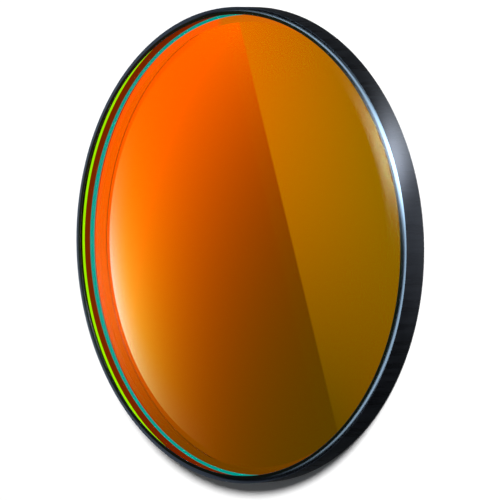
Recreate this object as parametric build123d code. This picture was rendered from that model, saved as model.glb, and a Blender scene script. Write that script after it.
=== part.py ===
from build123d import *
import os

# Unmounted round optical bandpass filter: a plane-parallel glass disc with a thin-film
# coating on each face and a black lacquer on its rim, bevels and outermost border.
# Millimetres. The filter lies on its rear side. The origin is the middle of the rear
# side, and +Z is the optical axis, which leaves through the front face.

# Outside sizes, measured over the lacquer
filter_diameter = 36.0
filter_thickness = 2.0

# Protective bevels ground round both edges: width along the face, depth down the wall
front_bevel_width = 0.34
front_bevel_depth = 0.10
rear_bevel_width = 0.34
rear_bevel_depth = 0.10

# Black lacquer: its thickness, and the flat border that it leaves beside each bevel
lacquer_thickness = 0.04
front_border_width = 0.24
rear_border_width = 0.24

# Thin-film coatings, and the bare glass that their holder left between coating and bevel
front_coating_thickness = 0.02
rear_coating_thickness = 0.02
coating_margin = 0.06

# Glass sizes and levels that follow from the sizes above
outer_radius = filter_diameter / 2
glass_radius = outer_radius - lacquer_thickness
glass_rear_level = lacquer_thickness + rear_coating_thickness
glass_front_level = filter_thickness - lacquer_thickness - front_coating_thickness

# Clear openings that the lacquer's borders leave
front_aperture_radius = outer_radius - front_bevel_width - front_border_width
rear_aperture_radius = outer_radius - rear_bevel_width - rear_border_width


def bevelled_disc(radius, low, high, rear_bevel, front_bevel):
    """A round disc between two levels, with a bevel given as (width, depth) on each edge."""
    rear_width, rear_depth = rear_bevel
    front_width, front_depth = front_bevel
    section = Polyline(
        (0, 0, low),
        (radius - rear_width, 0, low),
        (radius, 0, low + rear_depth),
        (radius, 0, high - front_depth),
        (radius - front_width, 0, high),
        (0, 0, high),
        close=True,
    )
    return revolve(make_face(section), axis=Axis.Z)


def round_plate(radius, low, high):
    """A plain round plate between two levels."""
    plate = Cylinder(radius, high - low, align=(Align.CENTER, Align.CENTER, Align.MIN))
    return Pos(0, 0, low) * plate


def glass_substrate():
    """The polished plane-parallel disc, ground to the same bevels as the finished rim."""
    return bevelled_disc(
        glass_radius,
        glass_rear_level,
        glass_front_level,
        (rear_bevel_width, rear_bevel_depth),
        (front_bevel_width, front_bevel_depth),
    )


def front_coating():
    """The film on the front face, which ends just short of the glass bevel."""
    radius = glass_radius - front_bevel_width - coating_margin
    return round_plate(radius, glass_front_level, glass_front_level + front_coating_thickness)


def rear_coating():
    """The film on the rear face, which ends just short of the glass bevel."""
    radius = glass_radius - rear_bevel_width - coating_margin
    return round_plate(radius, glass_rear_level - rear_coating_thickness, glass_rear_level)


def edge_lacquer(glass, front_film, rear_film):
    """The black coat round the rim, whose two lips lap over the edges of the coatings."""
    whole = bevelled_disc(
        outer_radius,
        0,
        filter_thickness,
        (rear_bevel_width, rear_bevel_depth),
        (front_bevel_width, front_bevel_depth),
    )
    middle = filter_thickness / 2
    front_opening = round_plate(front_aperture_radius, middle, filter_thickness)
    rear_opening = round_plate(rear_aperture_radius, 0, middle)
    return whole - front_opening - rear_opening - glass - front_film - rear_film


def build_parts():
    """Every piece of the filter under its node's name."""
    glass = glass_substrate()
    front_film = front_coating()
    rear_film = rear_coating()
    return {
        "glass_substrate": glass,
        "front_coating": front_film,
        "rear_coating": rear_film,
        "edge_lacquer": edge_lacquer(glass, front_film, rear_film),
    }


os.makedirs("parts", exist_ok=True)
for name, solid in build_parts().items():
    export_step(solid, f"parts/{name}.step")
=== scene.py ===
import logging
import math
from dataclasses import dataclass, field
from enum import Enum
from typing import Any, Union

import bpy
import numpy as np
from mathutils import Matrix, Vector


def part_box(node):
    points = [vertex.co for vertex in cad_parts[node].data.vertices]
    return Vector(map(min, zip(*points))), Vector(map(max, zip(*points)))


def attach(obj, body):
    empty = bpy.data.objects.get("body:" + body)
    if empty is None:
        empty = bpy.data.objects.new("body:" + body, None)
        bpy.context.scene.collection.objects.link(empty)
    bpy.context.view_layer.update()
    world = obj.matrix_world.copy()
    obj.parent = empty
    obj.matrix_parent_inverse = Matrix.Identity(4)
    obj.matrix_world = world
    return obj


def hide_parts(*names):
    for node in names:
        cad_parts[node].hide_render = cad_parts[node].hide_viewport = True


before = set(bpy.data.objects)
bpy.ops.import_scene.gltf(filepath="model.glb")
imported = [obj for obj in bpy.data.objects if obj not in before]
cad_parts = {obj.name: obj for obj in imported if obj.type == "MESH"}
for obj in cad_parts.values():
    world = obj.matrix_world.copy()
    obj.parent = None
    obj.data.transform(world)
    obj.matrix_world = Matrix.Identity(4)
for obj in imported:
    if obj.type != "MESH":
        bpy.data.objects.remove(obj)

# An unmounted round optical bandpass filter, lying on its rear side. Four pieces: the
# glass disc, a film on each face, and the black lacquer round the rim. Lengths are in
# metres. Z is the optical axis. The camera stands on the -Y side, so the picture's left
# is the filter's far side, and the picture's top is the +X side.

LOG = logging.getLogger("bandpass_filter")
MM = 0.001
CM = 0.01
Colour = tuple[float, float, float]
Span = tuple[float, float]
BLACK: Colour = (0.0, 0.0, 0.0)

# Lengths below this count as none
NO_LENGTH = 1e-9


# Shader maths

class Term:
    """One output socket of a node tree, with the operators that shader maths needs."""

    def __init__(self, graph: "Graph", socket: bpy.types.NodeSocket) -> None:
        """Wraps a socket.

        Args:
            graph: the graph that the socket belongs to.
            socket: the output socket.
        """
        self.graph = graph
        self.socket = socket

    def __add__(self, other: "Value") -> "Term":
        """The sum of two values."""
        return self.graph.math("ADD", self, other)

    __radd__ = __add__

    def __mul__(self, other: "Value") -> "Term":
        """The product of two values."""
        return self.graph.math("MULTIPLY", self, other)

    __rmul__ = __mul__

    def __sub__(self, other: "Value") -> "Term":
        """This value less another."""
        return self.graph.math("SUBTRACT", self, other)

    def __rsub__(self, other: "Value") -> "Term":
        """Another value less this one."""
        return self.graph.math("SUBTRACT", other, self)

    def __truediv__(self, other: "Value") -> "Term":
        """This value divided by another."""
        return self.graph.math("DIVIDE", self, other)

    def __neg__(self) -> "Term":
        """The value with its sign turned."""
        return self.graph.math("MULTIPLY", self, -1.0)

    def __rpow__(self, base: float) -> "Term":
        """A number to the power of this value."""
        return self.graph.math("POWER", base, self)


Value = Union[float, Term]


class Graph:
    """The node tree of one material or world, built from Python expressions."""

    def __init__(self, tree: bpy.types.NodeTree) -> None:
        """Empties the tree.

        Args:
            tree: the node tree of a material or of the world.
        """
        self.tree = tree
        tree.nodes.clear()

    def node(
        self,
        kind: str,
        settings: dict[str, Any] | None = None,
        inputs: dict[str | int, Any] | None = None,
        output: str | int = 0,
    ) -> Term:
        """Adds one node.

        Args:
            kind: the node's type.
            settings: properties of the node, set before its sockets.
            inputs: a value or a Term for each socket, by its name or its place.
            output: which output to return.

        Returns:
            The chosen output, or an empty Term for a node without outputs.
        """
        made = self.tree.nodes.new(kind)
        for name, value in (settings or {}).items():
            setattr(made, name, value)
        for key, value in (inputs or {}).items():
            if isinstance(value, Term):
                self.tree.links.new(value.socket, made.inputs[key])
            else:
                made.inputs[key].default_value = value
        return Term(self, made.outputs[output] if len(made.outputs) else None)

    def math(self, operation: str, *values: Value) -> Term:
        """One Math node on values."""
        return self.node("ShaderNodeMath", {"operation": operation}, dict(enumerate(values)))

    def position(self) -> tuple[Term, Term, Term]:
        """The surface point's three Object coordinates."""
        point = self.node("ShaderNodeTexCoord", output="Object")
        parts = self.node("ShaderNodeSeparateXYZ", None, {0: point})
        outputs = parts.socket.node.outputs
        return tuple(Term(self, outputs[axis]) for axis in "XYZ")

    def radius(self, x: Term, y: Term) -> Term:
        """The distance from the optical axis."""
        return self.math("SQRT", x * x + y * y)

    def step(self, value: Value, low: float, high: float) -> Term:
        """A smooth rise from 0 at low to 1 at high, or a fall where low is above high."""
        flipped = low > high
        ends = (high, low) if flipped else (low, high)
        rise = self.node(
            "ShaderNodeMapRange",
            {"interpolation_type": "SMOOTHSTEP"},
            {"Value": value, "From Min": ends[0], "From Max": ends[1]},
        )
        return 1.0 - rise if flipped else rise

    def bell(self, value: Value, middle: float, width: float) -> Term:
        """A bell curve of a value: e to the minus square of its distance over a width."""
        away = (value - middle) / width
        return math.e ** -(away * away)

    def colour(self, red: Value, green: Value, blue: Value) -> Term:
        """A colour from three values."""
        return self.node("ShaderNodeCombineColor", None, {0: red, 1: green, 2: blue})

    def blend(self, share: Value, first: "Colour | Term", second: "Colour | Term") -> Term:
        """A colour between two, by a share from 0 to 1.

        A Mix node's colours are its inputs 6 and 7 and its output 2.

        Args:
            share: 0 gives the first colour and 1 the second.
            first: a colour or the output that gives it.
            second: a colour or the output that gives it.

        Returns:
            The blended colour.
        """
        ends = [c if isinstance(c, Term) else (*c, 1.0) for c in (first, second)]
        settings = {"data_type": "RGBA", "blend_type": "MIX"}
        return self.node("ShaderNodeMix", settings, {0: share, 6: ends[0], 7: ends[1]}, output=2)

    def noise(self, vector: Term, scale: float, detail: float = 2.0) -> Term:
        """A noise texture's value along a vector."""
        return self.node(
            "ShaderNodeTexNoise", None, {"Vector": vector, "Scale": scale, "Detail": detail}
        )

    def surface(self, inputs: dict[str, Any], kind: str = "ShaderNodeBsdfPrincipled") -> None:
        """Makes one shader from its inputs and links it to the material's output."""
        self.finish(self.node(kind, None, inputs))

    def finish(self, shader: Term, kind: str = "ShaderNodeOutputMaterial") -> None:
        """Links a shader to the tree's output."""
        self.node(kind, None, {"Surface": shader})


def between(share: Term, ends: Span) -> Term:
    """A value between two ends, by a share from 0 to 1."""
    return ends[0] + (ends[1] - ends[0]) * share


def material(name: str) -> tuple[bpy.types.Material, Graph]:
    """A new material with an empty graph."""
    made = bpy.data.materials.new(name)
    made.use_nodes = True
    return made, Graph(made.node_tree)


# Surfaces

def rounded(corners: list[tuple[float, float, float]], steps: int = 5) -> np.ndarray:
    """Rounds the corners of a section.

    Each corner is replaced by an arc that touches both of its sides. The arc's ends lie
    radius * tan(turn / 2) from the corner, and its points are the middle plus the radius
    times an even turn from one side's normal to the other's.

    Args:
        corners: radius from the axis, height, and the corner's own rounding radius.
        steps: the number of steps on each arc.

    Returns:
        The section's points, one row of radius and height each.
    """
    points = np.array([c[:2] for c in corners])
    radii = np.array([c[2] for c in corners])
    before = np.roll(points, 1, axis=0)
    after = np.roll(points, -1, axis=0)
    arriving = (points - before) / np.linalg.norm(points - before, axis=1)[:, None]
    leaving = (after - points) / np.linalg.norm(after - points, axis=1)[:, None]
    turn = np.arctan2(
        arriving[:, 0] * leaving[:, 1] - arriving[:, 1] * leaving[:, 0],
        (arriving * leaving).sum(1),
    )
    start = points - arriving * (radii * np.abs(np.tan(turn / 2)))[:, None]
    side = np.sign(turn)[:, None] * np.stack([-arriving[:, 1], arriving[:, 0]], axis=1)
    middle = start + side * radii[:, None]
    angle = turn[:, None] * np.linspace(0.0, 1.0, steps + 1)[None, :]
    spoke = -side[:, None, :]
    across = np.stack([-spoke[..., 1], spoke[..., 0]], axis=-1)
    arc = spoke * np.cos(angle)[..., None] + across * np.sin(angle)[..., None]
    made = middle[:, None, :] + radii[:, None, None] * arc
    flat = made.reshape(-1, 2)
    keep = np.linalg.norm(flat - np.roll(flat, 1, axis=0), axis=1) > NO_LENGTH
    return flat[keep]


def revolved(name: str, section: np.ndarray, segments: int = 720) -> bpy.types.Object:
    """Turns a section about the optical axis.

    Each point is (r cos t, r sin t, z), with r and z from the section and t even round
    the circle. A section that starts and ends on the axis becomes a disc with closed
    poles, and any other section is a closed ring. The section runs so that the outside
    is on its right: outwards below, then up, then inwards above.

    Args:
        name: the object's name.
        section: rows of radius and height.
        segments: the number of steps round the circle.

    Returns:
        The new object, linked to the scene.
    """
    turn = np.arange(segments) * (2.0 * np.pi / segments)
    disc = section[0, 0] < NO_LENGTH
    rows = section[1:-1] if disc else section
    ring = np.stack(
        [
            rows[:, 0, None] * np.cos(turn),
            rows[:, 0, None] * np.sin(turn),
            np.repeat(rows[:, 1, None], segments, axis=1),
        ],
        axis=-1,
    ).reshape(-1, 3)
    count = len(rows)
    lower = np.arange(count - 1 if disc else count)
    upper = (lower + 1) % count
    here = np.arange(segments)
    ahead = (here + 1) % segments
    quads = np.stack(
        [
            lower[:, None] * segments + here,
            lower[:, None] * segments + ahead,
            upper[:, None] * segments + ahead,
            upper[:, None] * segments + here,
        ],
        axis=-1,
    ).reshape(-1, 4)
    faces = quads.tolist()
    if disc:
        poles = [[0.0, 0.0, section[0, 1]], [0.0, 0.0, section[-1, 1]]]
        ring = np.vstack([ring, poles])
        low, high = count * segments, count * segments + 1
        last = (count - 1) * segments
        faces += np.stack([np.full(segments, low), ahead, here], axis=-1).tolist()
        faces += np.stack([last + here, last + ahead, np.full(segments, high)], axis=-1).tolist()
    mesh = bpy.data.meshes.new(name)
    mesh.from_pydata(ring.tolist(), [], faces)
    mesh.validate()
    made = bpy.data.objects.new(name, mesh)
    bpy.context.scene.collection.objects.link(made)
    return made


# Finishes

@dataclass(frozen=True)
class RimStretches:
    """Where the far side of the rim changes its look along X, between its two ends. Painted
    shade darkens it towards the -X end, and a painted reflection of the panel's duller tone lies
    on it at the +X end.
    """

    dim_end: float = -17.5 * MM
    bright_start: float = -2.0 * MM
    dull_rise: Span = (13.5 * MM, 15.5 * MM)
    dull_side: Span = (4.3 * MM, 3.3 * MM)
    pinch_reach: float = 17.0 * MM

    def brightness(self, graph: Graph, x: Term) -> Term:
        """The share of painted light: 0 at the -X end, which is painted darker as shade, rising
        to 1 before the middle.
        """
        return graph.step(x, self.dim_end, self.bright_start)

    def painted_reflection_share(self, graph: Graph, x: Term, y: Term) -> Term:
        """The share of the panel's duller tone, a painted reflection that the rim shows at the
        +X end.
        """
        return graph.step(x, *self.dull_rise) * graph.step(y, *self.dull_side)

    def pinch(self, x: Term) -> Term:
        """How far the coloured lines have narrowed: 0 in the middle and 1 at both ends."""
        share = x / self.pinch_reach
        return share * share


@dataclass(frozen=True)
class LacquerFinish:
    """Black edge lacquer: satin on the wall, where the brush left faint streaks up it."""

    colour: Colour = (0.0020, 0.0023, 0.0030)
    worn_colour: Colour = (0.006, 0.007, 0.009)
    sheen_tint: Colour = (0.72, 0.78, 1.0)
    specular_level: float = 0.25
    wall_softness: float = 0.03 * MM
    wall_roughness: float = 0.30
    wall_roughness_swing: float = 0.40
    face_roughness: float = 0.10
    streaks_per_metre: float = 2600.0
    streak_detail: float = 3.0
    streak_height_share: float = 0.06
    spots_per_metre: float = 900.0
    streak_share: float = 0.7
    worn_range: Span = (0.42, 0.66)
    bump_strength: float = 0.6
    bump_height: float = 0.010 * MM

    def build(self, wall_radius: float) -> bpy.types.Material:
        """The lacquer's material.

        Args:
            wall_radius: the radius past which the surface is the wall.

        Returns:
            The material.
        """
        made, graph = material("black_lacquer")
        x, y, z = graph.position()
        on_wall = graph.step(graph.radius(x, y), wall_radius - self.wall_softness, wall_radius)
        heights = z * self.streak_height_share
        along = graph.node("ShaderNodeCombineXYZ", None, {0: x, 1: y, 2: heights})
        streak = graph.noise(along, self.streaks_per_metre, self.streak_detail)
        point = graph.node("ShaderNodeTexCoord", output="Object")
        spot = graph.noise(point, self.spots_per_metre)
        wear = streak * self.streak_share + spot * (1.0 - self.streak_share)
        worn = graph.step(wear, *self.worn_range) * on_wall
        satin = self.wall_roughness + (streak - 0.5) * self.wall_roughness_swing
        bump = graph.node("ShaderNodeBump", None, {
            "Strength": self.bump_strength,
            "Distance": self.bump_height,
            "Height": streak * on_wall,
        })
        graph.surface({
            "Base Color": graph.blend(worn, self.colour, self.worn_colour),
            "Roughness": self.face_roughness + (satin - self.face_roughness) * on_wall,
            "Specular IOR Level": self.specular_level,
            "Specular Tint": (*self.sheen_tint, 1.0),
            "Normal": bump,
        })
        return made


@dataclass(frozen=True)
class MirrorFinish:
    """The bandpass film: it reflects the orange and red that it doesn't let through.

    Its outermost ring lies under the lacquer's lip and shows as a red-orange edge with a dark
    red line and a blue-green line, which narrow towards the two ends. The ring emits these
    colours as painted glow, a painted reflection of the lit rim, darker towards -X as painted
    shade.
    """

    tint: Colour = (1.0, 0.18, 0.03)
    edge_tint: Colour = (1.0, 0.18, 0.15)
    edge_rise: Span = (13.2 * MM, 16.0 * MM)
    ring_start: float = 16.86 * MM
    ring_softness: float = 0.03 * MM
    ring_base: Colour = (0.02, 0.002, 0.0)
    # Painted glow of the ring: bright towards +X, dim towards -X as painted shade, and dull
    # where it paints the panel's duller tone as a reflection.
    bright_colour: Colour = (1.0, 0.095, 0.002)
    dim_colour: Colour = (0.15, 0.045, 0.0)
    dull_colour: Colour = (0.66, 0.130, 0.002)
    dull_shift: float = 1.4 * MM
    line_start: float = 17.20 * MM
    line_colour: Colour = (0.42, 0.010, 0.0)
    teal_start: float = 17.31 * MM
    teal_colour: Colour = (0.0, 0.31, 0.25)
    line_softness: float = 0.02 * MM
    pinch: float = 0.26 * MM
    stretches: RimStretches = RimStretches()

    def build(self) -> bpy.types.Material:
        """The film's material."""
        made, graph = material("bandpass_mirror_film")
        x, y, _ = graph.position()
        radius = graph.radius(x, y)
        outward = graph.step(radius, *self.edge_rise)
        ring = graph.step(radius, self.ring_start, self.ring_start + self.ring_softness)
        bare = graph.blend(outward, self.tint, self.edge_tint)
        glow = self.ring_glow(graph, x, y)
        graph.surface({
            "Base Color": graph.blend(ring, bare, self.ring_base),
            "Metallic": 1.0,
            "Roughness": 0.0,
            "Emission Color": graph.blend(ring, BLACK, glow),
            "Emission Strength": 1.0,
        })
        return made

    def ring_glow(self, graph: Graph, x: Term, y: Term) -> Term:
        """The colours that the outermost ring emits as painted glow.

        Args:
            graph: the material's graph.
            x: the surface point's X.
            y: the surface point's Y.

        Returns:
            The red-orange, then the dark red line, then the blue-green line.
        """
        # Painted shade darkens the glow towards -X, and a painted reflection of the panel's
        # duller tone tints it at the +X end.
        bright = self.stretches.brightness(graph, x)
        dull = self.stretches.painted_reflection_share(graph, x, y + self.dull_shift)
        glow = graph.blend(bright, self.dim_colour, self.bright_colour)
        glow = graph.blend(dull, glow, self.dull_colour)
        pinched = graph.radius(x, y) - self.pinch * self.stretches.pinch(x)
        line = graph.step(pinched, self.line_start, self.line_start + self.line_softness)
        teal = graph.step(pinched, self.teal_start, self.teal_start + self.line_softness)
        glow = graph.blend(line, glow, self.line_colour)
        return graph.blend(teal, glow, self.teal_colour)


@dataclass(frozen=True)
class GlassFinish:
    """Polished glass. The index is the one that the depth seen in the photo asks for."""

    index: float = 1.20
    tint: Colour = (1.0, 0.99, 0.97)
    gloss_tint: Colour = (0.3, 0.2, 0.1)

    def build(self) -> bpy.types.Material:
        """The clear glass."""
        made, graph = material("clear_glass")
        graph.surface({
            "Base Color": (*self.tint, 1.0),
            "Roughness": 0.0,
            "IOR": self.index,
            "Transmission Weight": 1.0,
            "Specular Tint": (*self.gloss_tint, 1.0),
        })
        return made


class RimZone(Enum):
    """The interference colours on the lacquer's inner side, as linear light that the rim emits
    as painted glow, with painted shade, a painted reflection and a painted shadow among them.
    """

    AMBER = (1.0, 0.62, 0.0)
    # Painted shade: the amber darkened towards the -X end.
    AMBER_DIM = (0.17, 0.27, 0.0)
    # Painted reflection: the amber dulled by the panel's duller tone at the +X end.
    AMBER_DULL = (0.74, 0.82, 0.0)
    # Painted shadow: the black band under the lacquer's lip.
    PAINTED_LIP_SHADOW = (0.0, 0.0, 0.0)
    LIME = (0.36, 0.90, 0.0)
    MAROON = (0.19, 0.018, 0.0)
    TEAL = (0.0, 0.34, 0.28)


@dataclass(frozen=True)
class RimColours:
    """The lacquer as it is seen through the glass, where the coatings' edges tint it, and where
    its light is painted: the colours glow, with painted shade and a painted lip shadow.

    The zones' depths are taken from the front of the glass, and teal_inset from its wall.
    """

    amber_depth: float = 0.50 * MM
    lime_top_depth: float = 0.93 * MM
    lime_floor_depth: float = 1.28 * MM
    teal_inset: float = 0.19 * MM
    softness: float = 0.02 * MM
    pinch: float = 0.12 * MM
    # Strength of the painted glow: the rim emits its colours though it is no lamp.
    glow: float = 0.90
    base_share: float = 0.06
    stretches: RimStretches = RimStretches()

    def build(self, front: float, wall_radius: float) -> bpy.types.Material:
        """The colours by height on the inner wall, and by radius on the rear ring, emitted as
        painted glow.

        Args:
            front: the level of the glass's front face.
            wall_radius: the radius of the glass's wall.

        Returns:
            The material.
        """
        made, graph = material("tinted_rim_painted_glow")
        x, y, z = graph.position()
        depths = (self.lime_floor_depth, self.lime_top_depth, self.amber_depth)
        lime, dark, amber = [
            graph.step(z, front - depth, front - depth + self.softness) for depth in depths
        ]
        teal_edge = wall_radius - self.teal_inset
        radius = graph.radius(x, y) + self.pinch * self.stretches.pinch(x)
        teal = graph.step(radius, teal_edge + self.softness, teal_edge)
        lowest = graph.blend(teal, RimZone.MAROON.value, RimZone.TEAL.value)
        middle = graph.blend(lime, lowest, RimZone.LIME.value)
        # The black band between the amber and the lime is a painted shadow of the lacquer's lip.
        upper = graph.blend(dark, middle, RimZone.PAINTED_LIP_SHADOW.value)
        # Painted shade darkens the amber towards -X, and a painted reflection of the panel's
        # duller tone tints it at +X.
        bright = self.stretches.brightness(graph, x)
        dull = self.stretches.painted_reflection_share(graph, x, y)
        warm = graph.blend(bright, RimZone.AMBER_DIM.value, RimZone.AMBER.value)
        warm = graph.blend(dull, warm, RimZone.AMBER_DULL.value)
        colour = graph.blend(amber, upper, warm)
        # Painted glow: the colours are emitted, and only a small share of them is base colour.
        graph.surface({
            "Base Color": graph.blend(self.base_share, BLACK, colour),
            "Roughness": 0.5,
            "Specular IOR Level": 0.0,
            "Emission Color": colour,
            "Emission Strength": self.glow,
        })
        return made


@dataclass(frozen=True)
class ClearFilmFinish:
    """The anti-reflection film: almost clear, and black where the lacquer's lip covers it."""

    tint: Colour = (0.9, 0.8, 0.4)
    cover: float = 0.003
    edge_softness: float = 0.002 * MM

    def build(self, aperture: float) -> bpy.types.Material:
        """The film's material.

        Args:
            aperture: the radius at which the lacquer's lip starts.

        Returns:
            The material.
        """
        made, graph = material("anti_reflection_film")
        x, y, _ = graph.position()
        start, end = aperture - self.edge_softness, aperture + self.edge_softness
        lapped = graph.step(graph.radius(x, y), start, end)
        graph.surface({
            "Base Color": graph.blend(lapped, self.tint, BLACK),
            "Metallic": 1.0,
            "Roughness": 0.0,
            "Alpha": self.cover + (1.0 - self.cover) * lapped,
        })
        return made


# Pieces

@dataclass
class Filter:
    """The filter's sizes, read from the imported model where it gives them."""

    bevel_width: float = 0.34 * MM
    bevel_depth: float = 0.10 * MM
    border_width: float = 0.24 * MM
    lacquer_gap: float = 0.006 * MM
    film_gap: float = 0.003 * MM
    glass_gap: float = 0.0018 * MM
    radius: float = field(init=False)
    thickness: float = field(init=False)
    glass_radius: float = field(init=False)
    glass_low: float = field(init=False)
    glass_high: float = field(init=False)
    film_radius: float = field(init=False)
    front_film: Span = field(init=False)
    rear_film: Span = field(init=False)
    aperture: float = field(init=False)

    def __post_init__(self) -> None:
        """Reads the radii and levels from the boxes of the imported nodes."""
        self.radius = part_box("edge_lacquer")[1].x
        self.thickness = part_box("edge_lacquer")[1].z
        self.glass_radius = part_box("glass_substrate")[1].x
        self.glass_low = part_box("glass_substrate")[0].z
        self.glass_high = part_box("glass_substrate")[1].z
        self.film_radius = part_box("front_coating")[1].x
        self.front_film = (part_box("front_coating")[0].z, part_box("front_coating")[1].z)
        self.rear_film = (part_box("rear_coating")[0].z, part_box("rear_coating")[1].z)
        self.aperture = self.radius - self.bevel_width - self.border_width


def settle(piece: bpy.types.Object, node: str) -> bpy.types.Object:
    """Puts a piece on the body, in the place of its node.

    Args:
        piece: the finished piece.
        node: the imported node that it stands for.

    Returns:
        The piece.
    """
    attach(piece, "root")
    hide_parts(node)
    LOG.info("%s: %d faces", piece.name, len(piece.data.polygons))
    return piece


@dataclass
class EdgeLacquer:
    """The black coat: a C in section, whose lips lap over the borders of both faces.

    The flat of each border has two more points near its ends, so that smooth shading
    leaves it flat.
    """

    sizes: Filter
    edge_round: float = 0.035 * MM
    lip_round: float = 0.020 * MM
    seat_round: float = 0.0012 * MM
    inner_inset: float = 0.030 * MM
    outer_inset: float = 0.015 * MM
    sharp_angle: float = math.radians(35)

    def section(self) -> np.ndarray:
        """The C's outline, outside first, then back along the glass."""
        s = self.sizes
        edge, lip, seat = self.edge_round, self.lip_round, self.seat_round
        bevel_start = s.radius - s.bevel_width
        inner = s.aperture + self.inner_inset
        outer = bevel_start - self.outer_inset
        glass_bevel_start = s.glass_radius - s.bevel_width
        wall = s.glass_radius + s.lacquer_gap
        front_seat = s.front_film[1] + s.lacquer_gap
        rear_seat = s.rear_film[0] - s.lacquer_gap
        return rounded([
            (s.aperture, 0.0, lip),
            (inner, 0.0, 0.0),
            (outer, 0.0, 0.0),
            (bevel_start, 0.0, edge),
            (s.radius, s.bevel_depth, edge),
            (s.radius, s.thickness - s.bevel_depth, edge),
            (bevel_start, s.thickness, edge),
            (outer, s.thickness, 0.0),
            (inner, s.thickness, 0.0),
            (s.aperture, s.thickness, lip),
            (s.aperture, front_seat, seat),
            (glass_bevel_start, front_seat, seat),
            (wall, s.glass_high - s.bevel_depth, seat),
            (wall, s.glass_low + s.bevel_depth, seat),
            (glass_bevel_start, rear_seat, seat),
            (s.aperture, rear_seat, seat),
        ])

    def build(self) -> bpy.types.Object:
        """The lacquer's piece."""
        piece = revolved("edge_lacquer_coat", self.section())
        piece.data.shade_smooth()
        piece.data.materials.append(LacquerFinish().build(self.sizes.radius))
        piece.data.set_sharp_from_angle(angle=self.sharp_angle)
        return settle(piece, "edge_lacquer")


@dataclass
class GlassSubstrate:
    """The disc: clear over the aperture, and tinted where the lacquer backs it, where the tint
    glows as painted light.
    """

    sizes: Filter
    window_margin: float = 0.003 * MM

    def build(self) -> bpy.types.Object:
        """The glass piece, with a clear window on each side and the tinted rim between, whose
        colours are painted glow.
        """
        s = self.sizes
        low, high = s.glass_low + s.glass_gap, s.glass_high - s.glass_gap
        bevel_start = s.glass_radius - s.bevel_width
        section = np.array([
            (0.0, low),
            (s.aperture, low),
            (bevel_start, low),
            (s.glass_radius, low + s.bevel_depth),
            (s.glass_radius, high - s.bevel_depth),
            (bevel_start, high),
            (s.aperture + self.window_margin, high),
            (0.0, high),
        ])
        piece = revolved("glass_disc", section)
        piece.data.materials.append(GlassFinish().build())
        piece.data.materials.append(RimColours().build(high, s.glass_radius))
        self.tint_rim(piece.data)
        return settle(piece, "glass_substrate")

    def tint_rim(self, mesh: bpy.types.Mesh) -> None:
        """Gives the second material, the rim's painted glow, to every face past the aperture.

        Args:
            mesh: the disc's mesh, whose faces are sorted by their middle's radius.
        """
        centres = np.zeros(len(mesh.polygons) * 3)
        mesh.polygons.foreach_get("center", centres)
        radius = np.linalg.norm(centres.reshape(-1, 3)[:, :2], axis=1)
        chosen = (radius > self.sizes.aperture).astype(np.int32)
        mesh.polygons.foreach_set("material_index", chosen)


@dataclass
class Coating:
    """A film on one face: a round plate."""

    sizes: Filter
    name: str
    levels: Span
    slot: str
    node: str

    def build(self, finish: bpy.types.Material) -> bpy.types.Object:
        """The film's piece in a finish.

        Args:
            finish: the material.

        Returns:
            The piece.
        """
        low, high = self.levels
        radius = self.sizes.film_radius
        section = np.array([(0.0, low), (radius, low), (radius, high), (0.0, high)])
        piece = revolved(self.name, section)
        piece.data.materials.append(finish)
        return settle(piece, self.node)


# Lights

@dataclass(frozen=True)
class Falloff:
    """One primary of a lit panel: base + e to (level + across u + along v + twist u v).

    u runs across the panel and v along it, in centimetres.
    """

    base: float
    level: float
    across: float
    along: float
    twist: float

    def at(self, u: Term, v: Term) -> Term:
        """The primary's strength at a place on the panel."""
        power = self.level + self.across * u + self.along * v + self.twist * (u * v)
        return self.base + math.e ** power


@dataclass(frozen=True)
class Ramp:
    """One primary of an even panel: level + across u + along v + twist u v.

    Where v is above 0, droop v v is added. The strength never falls below least.
    """

    level: float
    across: float
    along: float
    twist: float
    droop: float
    least: float = 0.02

    def at(self, graph: Graph, u: Term, v: Term) -> Term:
        """The primary's strength at a place on the panel."""
        plain = self.level + self.across * u + self.along * v + self.twist * (u * v)
        above = graph.math("MAXIMUM", v, 0.0)
        return graph.math("MAXIMUM", plain + self.droop * (above * above), self.least)


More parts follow.
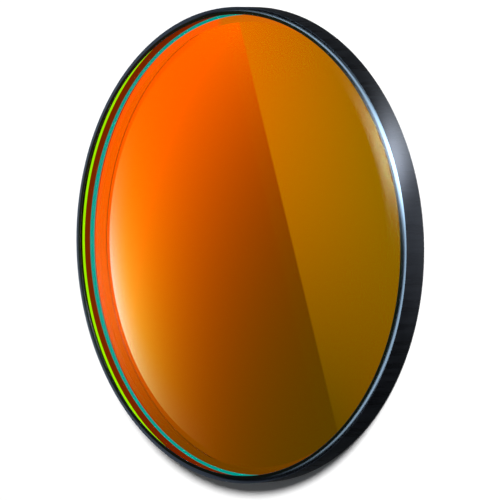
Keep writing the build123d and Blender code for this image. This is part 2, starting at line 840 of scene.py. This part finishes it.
@dataclass(frozen=True)
class PanelLight:
    """A panel of two tones that meet along a line, in an oval window of a dark flag.

    Inside the window's -u edge lie a plain band and, next to it, a pale crescent. Past
    its +u edge the flag has a bright strip and a short spark, which the bevel gives back.
    The strip grows brighter outwards from an ellipse like the window's, moved by
    strip_shift. u runs across the panel and v along it, in centimetres, and a reach of 1
    is the window's edge.
    """

    film_tint: Colour = (0.95, 0.176, 0.03)
    near_red: Falloff = Falloff(0.083, -1.467, -1.03, 0.489, 0.208)
    near_green: Falloff = Falloff(0.044, -4.565, -2.118, 0.772, 0.815)
    far_red: Ramp = Ramp(0.435, -0.10, 0.17, -0.076, -0.018)
    far_green: Ramp = Ramp(0.130, -0.005, 0.033, -0.005, -0.009)
    most_red: float = 1.05
    seam_middle: float = 0.585
    seam_lean: float = -0.205
    seam_softness: float = 0.012
    window_middle: Span = (0.223, 0.029)
    window_half: Span = (1.966, 2.840)
    window_fall: Span = (1.006, 0.998)
    left_side: Span = (-0.4, -0.7)
    right_side: Span = (0.0, 0.5)
    band_reach: float = 0.975
    band_softness: float = 0.002
    band_rise: Span = (-2.8, -0.4)
    band_red: Span = (0.20, 1.00)
    band_green: Span = (0.06, 0.095)
    crescent_middle: float = -0.5
    crescent_half: float = 0.85
    crescent_depth: float = 0.12
    crescent_blue: float = 3.4
    crescent_green: float = 0.9
    strip_middle: float = 1.12
    strip_half: float = 0.56
    strip_shift: float = 0.322
    strip_start: float = 1.038
    strip_slope: float = 0.126
    strip_fall: Span = (1.04, 1.02)
    strip_strength: float = 50.0
    spark_half: float = 0.38
    spark_rise: Span = (0.999, 1.003)
    spark_fall: Span = (1.08, 1.05)
    spark_strength: float = 140.0

    def reach(self, graph: Graph, u: Term, v: Term, shift: float = 0.0) -> Term:
        """How far out of the window's ellipse a place lies: 1 on the edge."""
        across = (u - (self.window_middle[0] - shift)) / self.window_half[0]
        along = (v - self.window_middle[1]) / self.window_half[1]
        return graph.math("SQRT", across * across + along * along)

    def tones(self, graph: Graph, u: Term, v: Term) -> tuple[Term, Term]:
        """The red and the green of the two tones on both sides of the seam."""
        seam = u - self.seam_middle - self.seam_lean * v
        far = graph.step(seam, -self.seam_softness, self.seam_softness)
        red = self.near_red.at(u, v)
        red = red + far * (self.far_red.at(graph, u, v) - red)
        green = self.near_green.at(u, v)
        green = green + far * (self.far_green.at(graph, u, v) - green)
        return graph.math("MINIMUM", red, self.most_red), green

    def highlights(self, graph: Graph, u: Term, v: Term) -> Term:
        """The strip and the spark past the window's +u edge.

        Args:
            graph: the material's graph.
            u: the place across the panel.
            v: the place along the panel.

        Returns:
            Their strength, the same for every primary.
        """
        reach = self.reach(graph, u, v)
        shifted = self.reach(graph, u, v, self.strip_shift)
        right = graph.step(u, *self.right_side)
        slope = graph.math("MAXIMUM", (shifted - self.strip_start) / self.strip_slope, 0.0)
        strip = slope * graph.bell(v, self.strip_middle, self.strip_half)
        strip = strip * graph.step(reach, *self.strip_fall)
        spark = graph.bell(v, self.strip_middle, self.spark_half)
        spark = spark * graph.step(reach, *self.spark_rise) * graph.step(reach, *self.spark_fall)
        return (strip * self.strip_strength + spark * self.spark_strength) * right

    def build(self) -> bpy.types.Material:
        """The panel's light."""
        made, graph = material("panel_light")
        x, y, _ = graph.position()
        u, v = x / CM, y / CM
        reach = self.reach(graph, u, v)
        window = graph.step(reach, *self.window_fall)
        left = graph.step(u, *self.left_side)
        red, green = self.tones(graph, u, v)
        band = graph.step(reach, self.band_reach, self.band_reach + self.band_softness) * left
        rise = graph.step(v, *self.band_rise)
        red = red + band * (between(rise, self.band_red) - red)
        green = green + band * (between(rise, self.band_green) - green)
        inward = (self.band_reach - reach) * self.window_half[0]
        crescent = math.e ** (inward / -self.crescent_depth)
        crescent = crescent * graph.bell(v, self.crescent_middle, self.crescent_half)
        crescent = crescent * left * (1.0 - band) * window
        bright = self.highlights(graph, u, v)
        colour = graph.colour(
            red * window / self.film_tint[0] + bright,
            green * window / self.film_tint[1] + crescent * self.crescent_green + bright,
            crescent * self.crescent_blue + bright,
        )
        graph.surface({"Color": colour}, "ShaderNodeEmission")
        return made


@dataclass(frozen=True)
class RimLight:
    """A patch of light on the floor beside the rim: a bright spot on a broad low glow."""

    tint: Colour = (0.9, 0.96, 1.0)
    least: float = 0.04
    strength: float = 22.0
    place: float = 7.4 * MM
    width: float = 2.5 * MM
    broad_strength: float = 1.45
    broad_place: float = 2.6 * MM
    broad_width: float = 6.9 * MM
    spot_rise: Span = (16.8 * MM, 21.0 * MM)
    near_side: Span = (0.0, -4.0 * MM)

    def build(self) -> bpy.types.Material:
        """The patch's light."""
        made, graph = material("rim_light")
        x, y, _ = graph.position()
        rise = graph.step(graph.radius(x, y), *self.spot_rise)
        spot = self.strength * graph.bell(x, self.place, self.width) * rise
        broad = self.broad_strength * graph.bell(x, self.broad_place, self.broad_width)
        power = self.least + (spot + broad) * graph.step(y, *self.near_side)
        graph.surface({"Color": (*self.tint, 1.0), "Strength": power}, "ShaderNodeEmission")
        return made


@dataclass(frozen=True)
class OverheadLight:
    """A strip that bends away at both ends, with a wider hot spot.

    The strip's middle is y = start + bend x squared + curl x to the fourth, in centimetres.
    Its strength is full up to core_share of the half width.
    """

    tint: Colour = (0.68, 0.93, 1.0)
    start: float = -14.2
    bend: float = 0.061
    curl: float = 0.000117
    half_width: float = 1.7
    core_share: float = 0.4
    low_end: Span = (-16.0, -8.5)
    high_end: Span = (17.8, 12.0)
    strength: float = 28.0
    hot_half_width: float = 4.4
    hot_strength: float = 110.0
    hot_place: float = 4.4
    hot_width: float = 2.4

    def build(self) -> bpy.types.Material:
        """The strip's light."""
        made, graph = material("overhead_light")
        x, y, _ = graph.position()
        u, v = x / CM, y / CM
        square = u * u
        middle = self.start + self.bend * square + self.curl * (square * square)
        away = graph.math("ABSOLUTE", v - middle)
        strip = graph.step(away, self.half_width, self.core_share * self.half_width)
        strip = strip * graph.step(u, *self.low_end) * graph.step(u, *self.high_end)
        spot = graph.step(away, self.hot_half_width, self.core_share * self.hot_half_width)
        spot = spot * graph.bell(u, self.hot_place, self.hot_width)
        power = self.strength * strip + self.hot_strength * spot
        graph.surface({"Color": (*self.tint, 1.0), "Strength": power}, "ShaderNodeEmission")
        return made


# Studio

def placed(axes: list[np.ndarray], place: np.ndarray) -> Matrix:
    """The matrix that puts an object at a place, with its X, Y and Z along three axes.

    Args:
        axes: the three directions, each of length 1.
        place: the object's origin.

    Returns:
        The matrix.
    """
    matrix = np.eye(4)
    matrix[:3, :3] = np.stack(axes, axis=1)
    matrix[:3, 3] = place
    return Matrix(matrix.tolist())


@dataclass
class Studio:
    """The floor, the light and the camera, none of which is part of the filter."""

    elevation: float = math.radians(43.95)
    roll: float = math.radians(91.919)
    distance: float = 400.0 * MM
    lens: float = 380.76
    sensor_width: float = 36.0
    clip_range: Span = (0.01, 20.0)
    image_middle: float = 250.0
    centre_pixel: Span = (244.7, 245.0)
    pixels_per_metre: float = 13.2208 / MM
    floor_width: float = 6.0
    floor_level: float = -0.002 * MM
    floor_colour: Colour = (0.9, 0.9, 0.9)
    surround_light: float = 0.09
    gloss_tint: Colour = (0.8, 1.0, 1.25)
    key_width: float = 0.19
    key_power: float = 5.2
    key_rise: float = math.radians(54)
    key_turn: float = math.radians(-47)
    key_distance: float = 0.6
    panel_size: Span = (62 * MM, 76 * MM)
    panel_distance: float = 260.0 * MM
    rim_card_width: float = 80 * MM
    rim_card_level: float = -0.001 * MM
    overhead_width: float = 360 * MM
    overhead_place: tuple[float, float, float] = (0.0, 140 * MM, 200 * MM)

    def axes(self) -> tuple[np.ndarray, np.ndarray, np.ndarray]:
        """The camera's right, up and forward directions."""
        rise, turn = self.elevation, self.roll
        level = np.array([1.0, 0.0, 0.0])
        upright = np.array([0.0, math.sin(rise), math.cos(rise)])
        forward = np.array([0.0, math.cos(rise), -math.sin(rise)])
        right = math.cos(turn) * level - math.sin(turn) * upright
        up = math.sin(turn) * level + math.cos(turn) * upright
        return right, up, forward

    def camera(self, target: np.ndarray) -> None:
        """Places the camera so that the filter fills the frame as in the photo.

        Args:
            target: the point of the filter that appears at centre_pixel.
        """
        right, up, forward = self.axes()
        off = (np.array(self.centre_pixel) - self.image_middle) / self.pixels_per_metre
        place = target - off[0] * right + off[1] * up - self.distance * forward
        data = bpy.data.cameras.new("camera")
        data.lens = self.lens
        data.sensor_width = self.sensor_width
        data.clip_start, data.clip_end = self.clip_range
        camera = bpy.data.objects.new("camera", data)
        camera.matrix_world = placed([right, up, -forward], place)
        bpy.context.scene.collection.objects.link(camera)
        bpy.context.scene.camera = camera

    def plane(self, name: str, size: Span, matrix: Matrix) -> bpy.types.Object:
        """A flat rectangle on the stage, centred on its own origin.

        Args:
            name: the object's name.
            size: its width and height.
            matrix: its place.

        Returns:
            The object.
        """
        x, y = size[0] / 2, size[1] / 2
        corners = [(-x, -y, 0.0), (x, -y, 0.0), (x, y, 0.0), (-x, y, 0.0)]
        mesh = bpy.data.meshes.new(name)
        mesh.from_pydata(corners, [], [(0, 1, 2, 3)])
        made = bpy.data.objects.new(name, mesh)
        made.matrix_world = matrix
        bpy.context.scene.collection.objects.link(made)
        return made

    def card(self, name: str, size: Span, matrix: Matrix, light: bpy.types.Material) -> None:
        """A lit card that only mirrors and gloss show.

        Args:
            name: the card's name.
            size: its width and height.
            matrix: its place.
            light: its material.
        """
        card = self.plane(name, size, matrix)
        card.visible_camera = False
        card.visible_diffuse = False
        card.visible_shadow = False
        card.data.materials.append(light)

    def floor(self) -> None:
        """The plain white floor."""
        place = Matrix.Translation((0.0, 0.0, self.floor_level))
        floor = self.plane("floor", (self.floor_width, self.floor_width), place)
        made, graph = material("white_floor")
        graph.surface({"Color": (*self.floor_colour, 1.0)}, "ShaderNodeBsdfDiffuse")
        floor.data.materials.append(made)

    def world(self) -> None:
        """A white surround that metal and glass show, and that lights the floor less."""
        world = bpy.data.worlds.new("surround")
        world.use_nodes = True
        bpy.context.scene.world = world
        graph = Graph(world.node_tree)
        seen = graph.node("ShaderNodeLightPath", output="Is Camera Ray")
        outputs = seen.socket.node.outputs
        glossy = Term(graph, outputs["Is Glossy Ray"])
        through = Term(graph, outputs["Is Transmission Ray"])
        shown = graph.math("MINIMUM", seen + glossy + through, 1.0)
        background = graph.node("ShaderNodeBackground", None, {
            "Color": graph.blend(glossy, (1.0, 1.0, 1.0), self.gloss_tint),
            "Strength": self.surround_light + (1.0 - self.surround_light) * shown,
        })
        graph.finish(background, "ShaderNodeOutputWorld")

    def key(self) -> None:
        """The soft lamp on the +X and -Y side, which throws the shadow to the other side."""
        data = bpy.data.lights.new("key", "AREA")
        data.shape = "DISK"
        data.size = self.key_width
        data.energy = self.key_power
        level, up = math.cos(self.key_rise), math.sin(self.key_rise)
        turned = (level * math.cos(self.key_turn), level * math.sin(self.key_turn), up)
        place = Vector(turned) * self.key_distance
        lamp = bpy.data.objects.new("key", data)
        lamp.location = place
        lamp.rotation_euler = (-place).to_track_quat("-Z", "Y").to_euler()
        bpy.context.scene.collection.objects.link(lamp)

    def panel_card(self) -> None:
        """The two-tone panel that the rear film mirrors to the camera."""
        aim = self.axes()[2] * np.array([1.0, 1.0, -1.0])
        side = np.array([0.0, -1.0, 0.0])
        side = side - aim * (side @ aim)
        side = side / np.linalg.norm(side)
        matrix = placed([side, np.cross(aim, side), aim], aim * self.panel_distance)
        self.card("panel_card", self.panel_size, matrix, PanelLight().build())

    def rim_card(self) -> None:
        """A lit patch of floor beside the rim, which the wall gives back as a soft glow."""
        matrix = Matrix.Translation((0.0, 0.0, self.rim_card_level))
        size = (self.rim_card_width, self.rim_card_width)
        self.card("rim_card", size, matrix, RimLight().build())

    def overhead_card(self) -> None:
        """The curved strip above, which the bevel gives back as a bright line."""
        matrix = Matrix.Translation(self.overhead_place)
        size = (self.overhead_width, self.overhead_width)
        self.card("overhead_card", size, matrix, OverheadLight().build())

    def build(self, target: np.ndarray) -> None:
        """Sets up everything.

        Args:
            target: the point of the filter that the camera is placed by.
        """
        self.floor()
        self.world()
        self.key()
        self.rim_card()
        self.panel_card()
        self.overhead_card()
        self.camera(target)
        bpy.context.scene.view_settings.view_transform = "Standard"
        LOG.info("studio ready")


def main() -> None:
    """Builds the filter and the studio."""
    logging.basicConfig(level=logging.INFO, format="%(name)s: %(message)s")
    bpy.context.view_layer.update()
    sizes = Filter()
    EdgeLacquer(sizes).build()
    GlassSubstrate(sizes).build()
    rear_low, rear_high = sizes.rear_film
    Coating(
        sizes, "rear_mirror_film", (rear_low, rear_high - sizes.film_gap),
        "bandpass_mirror_film", "rear_coating",
    ).build(MirrorFinish().build())
    front_low, front_high = sizes.front_film
    Coating(
        sizes, "front_clear_film", (front_low + sizes.film_gap, front_high),
        "anti_reflection_film", "front_coating",
    ).build(ClearFilmFinish().build(sizes.aperture))
    Studio().build(np.array([0.0, 0.0, sizes.thickness / 2]))


if __name__ == "__main__":
    main()
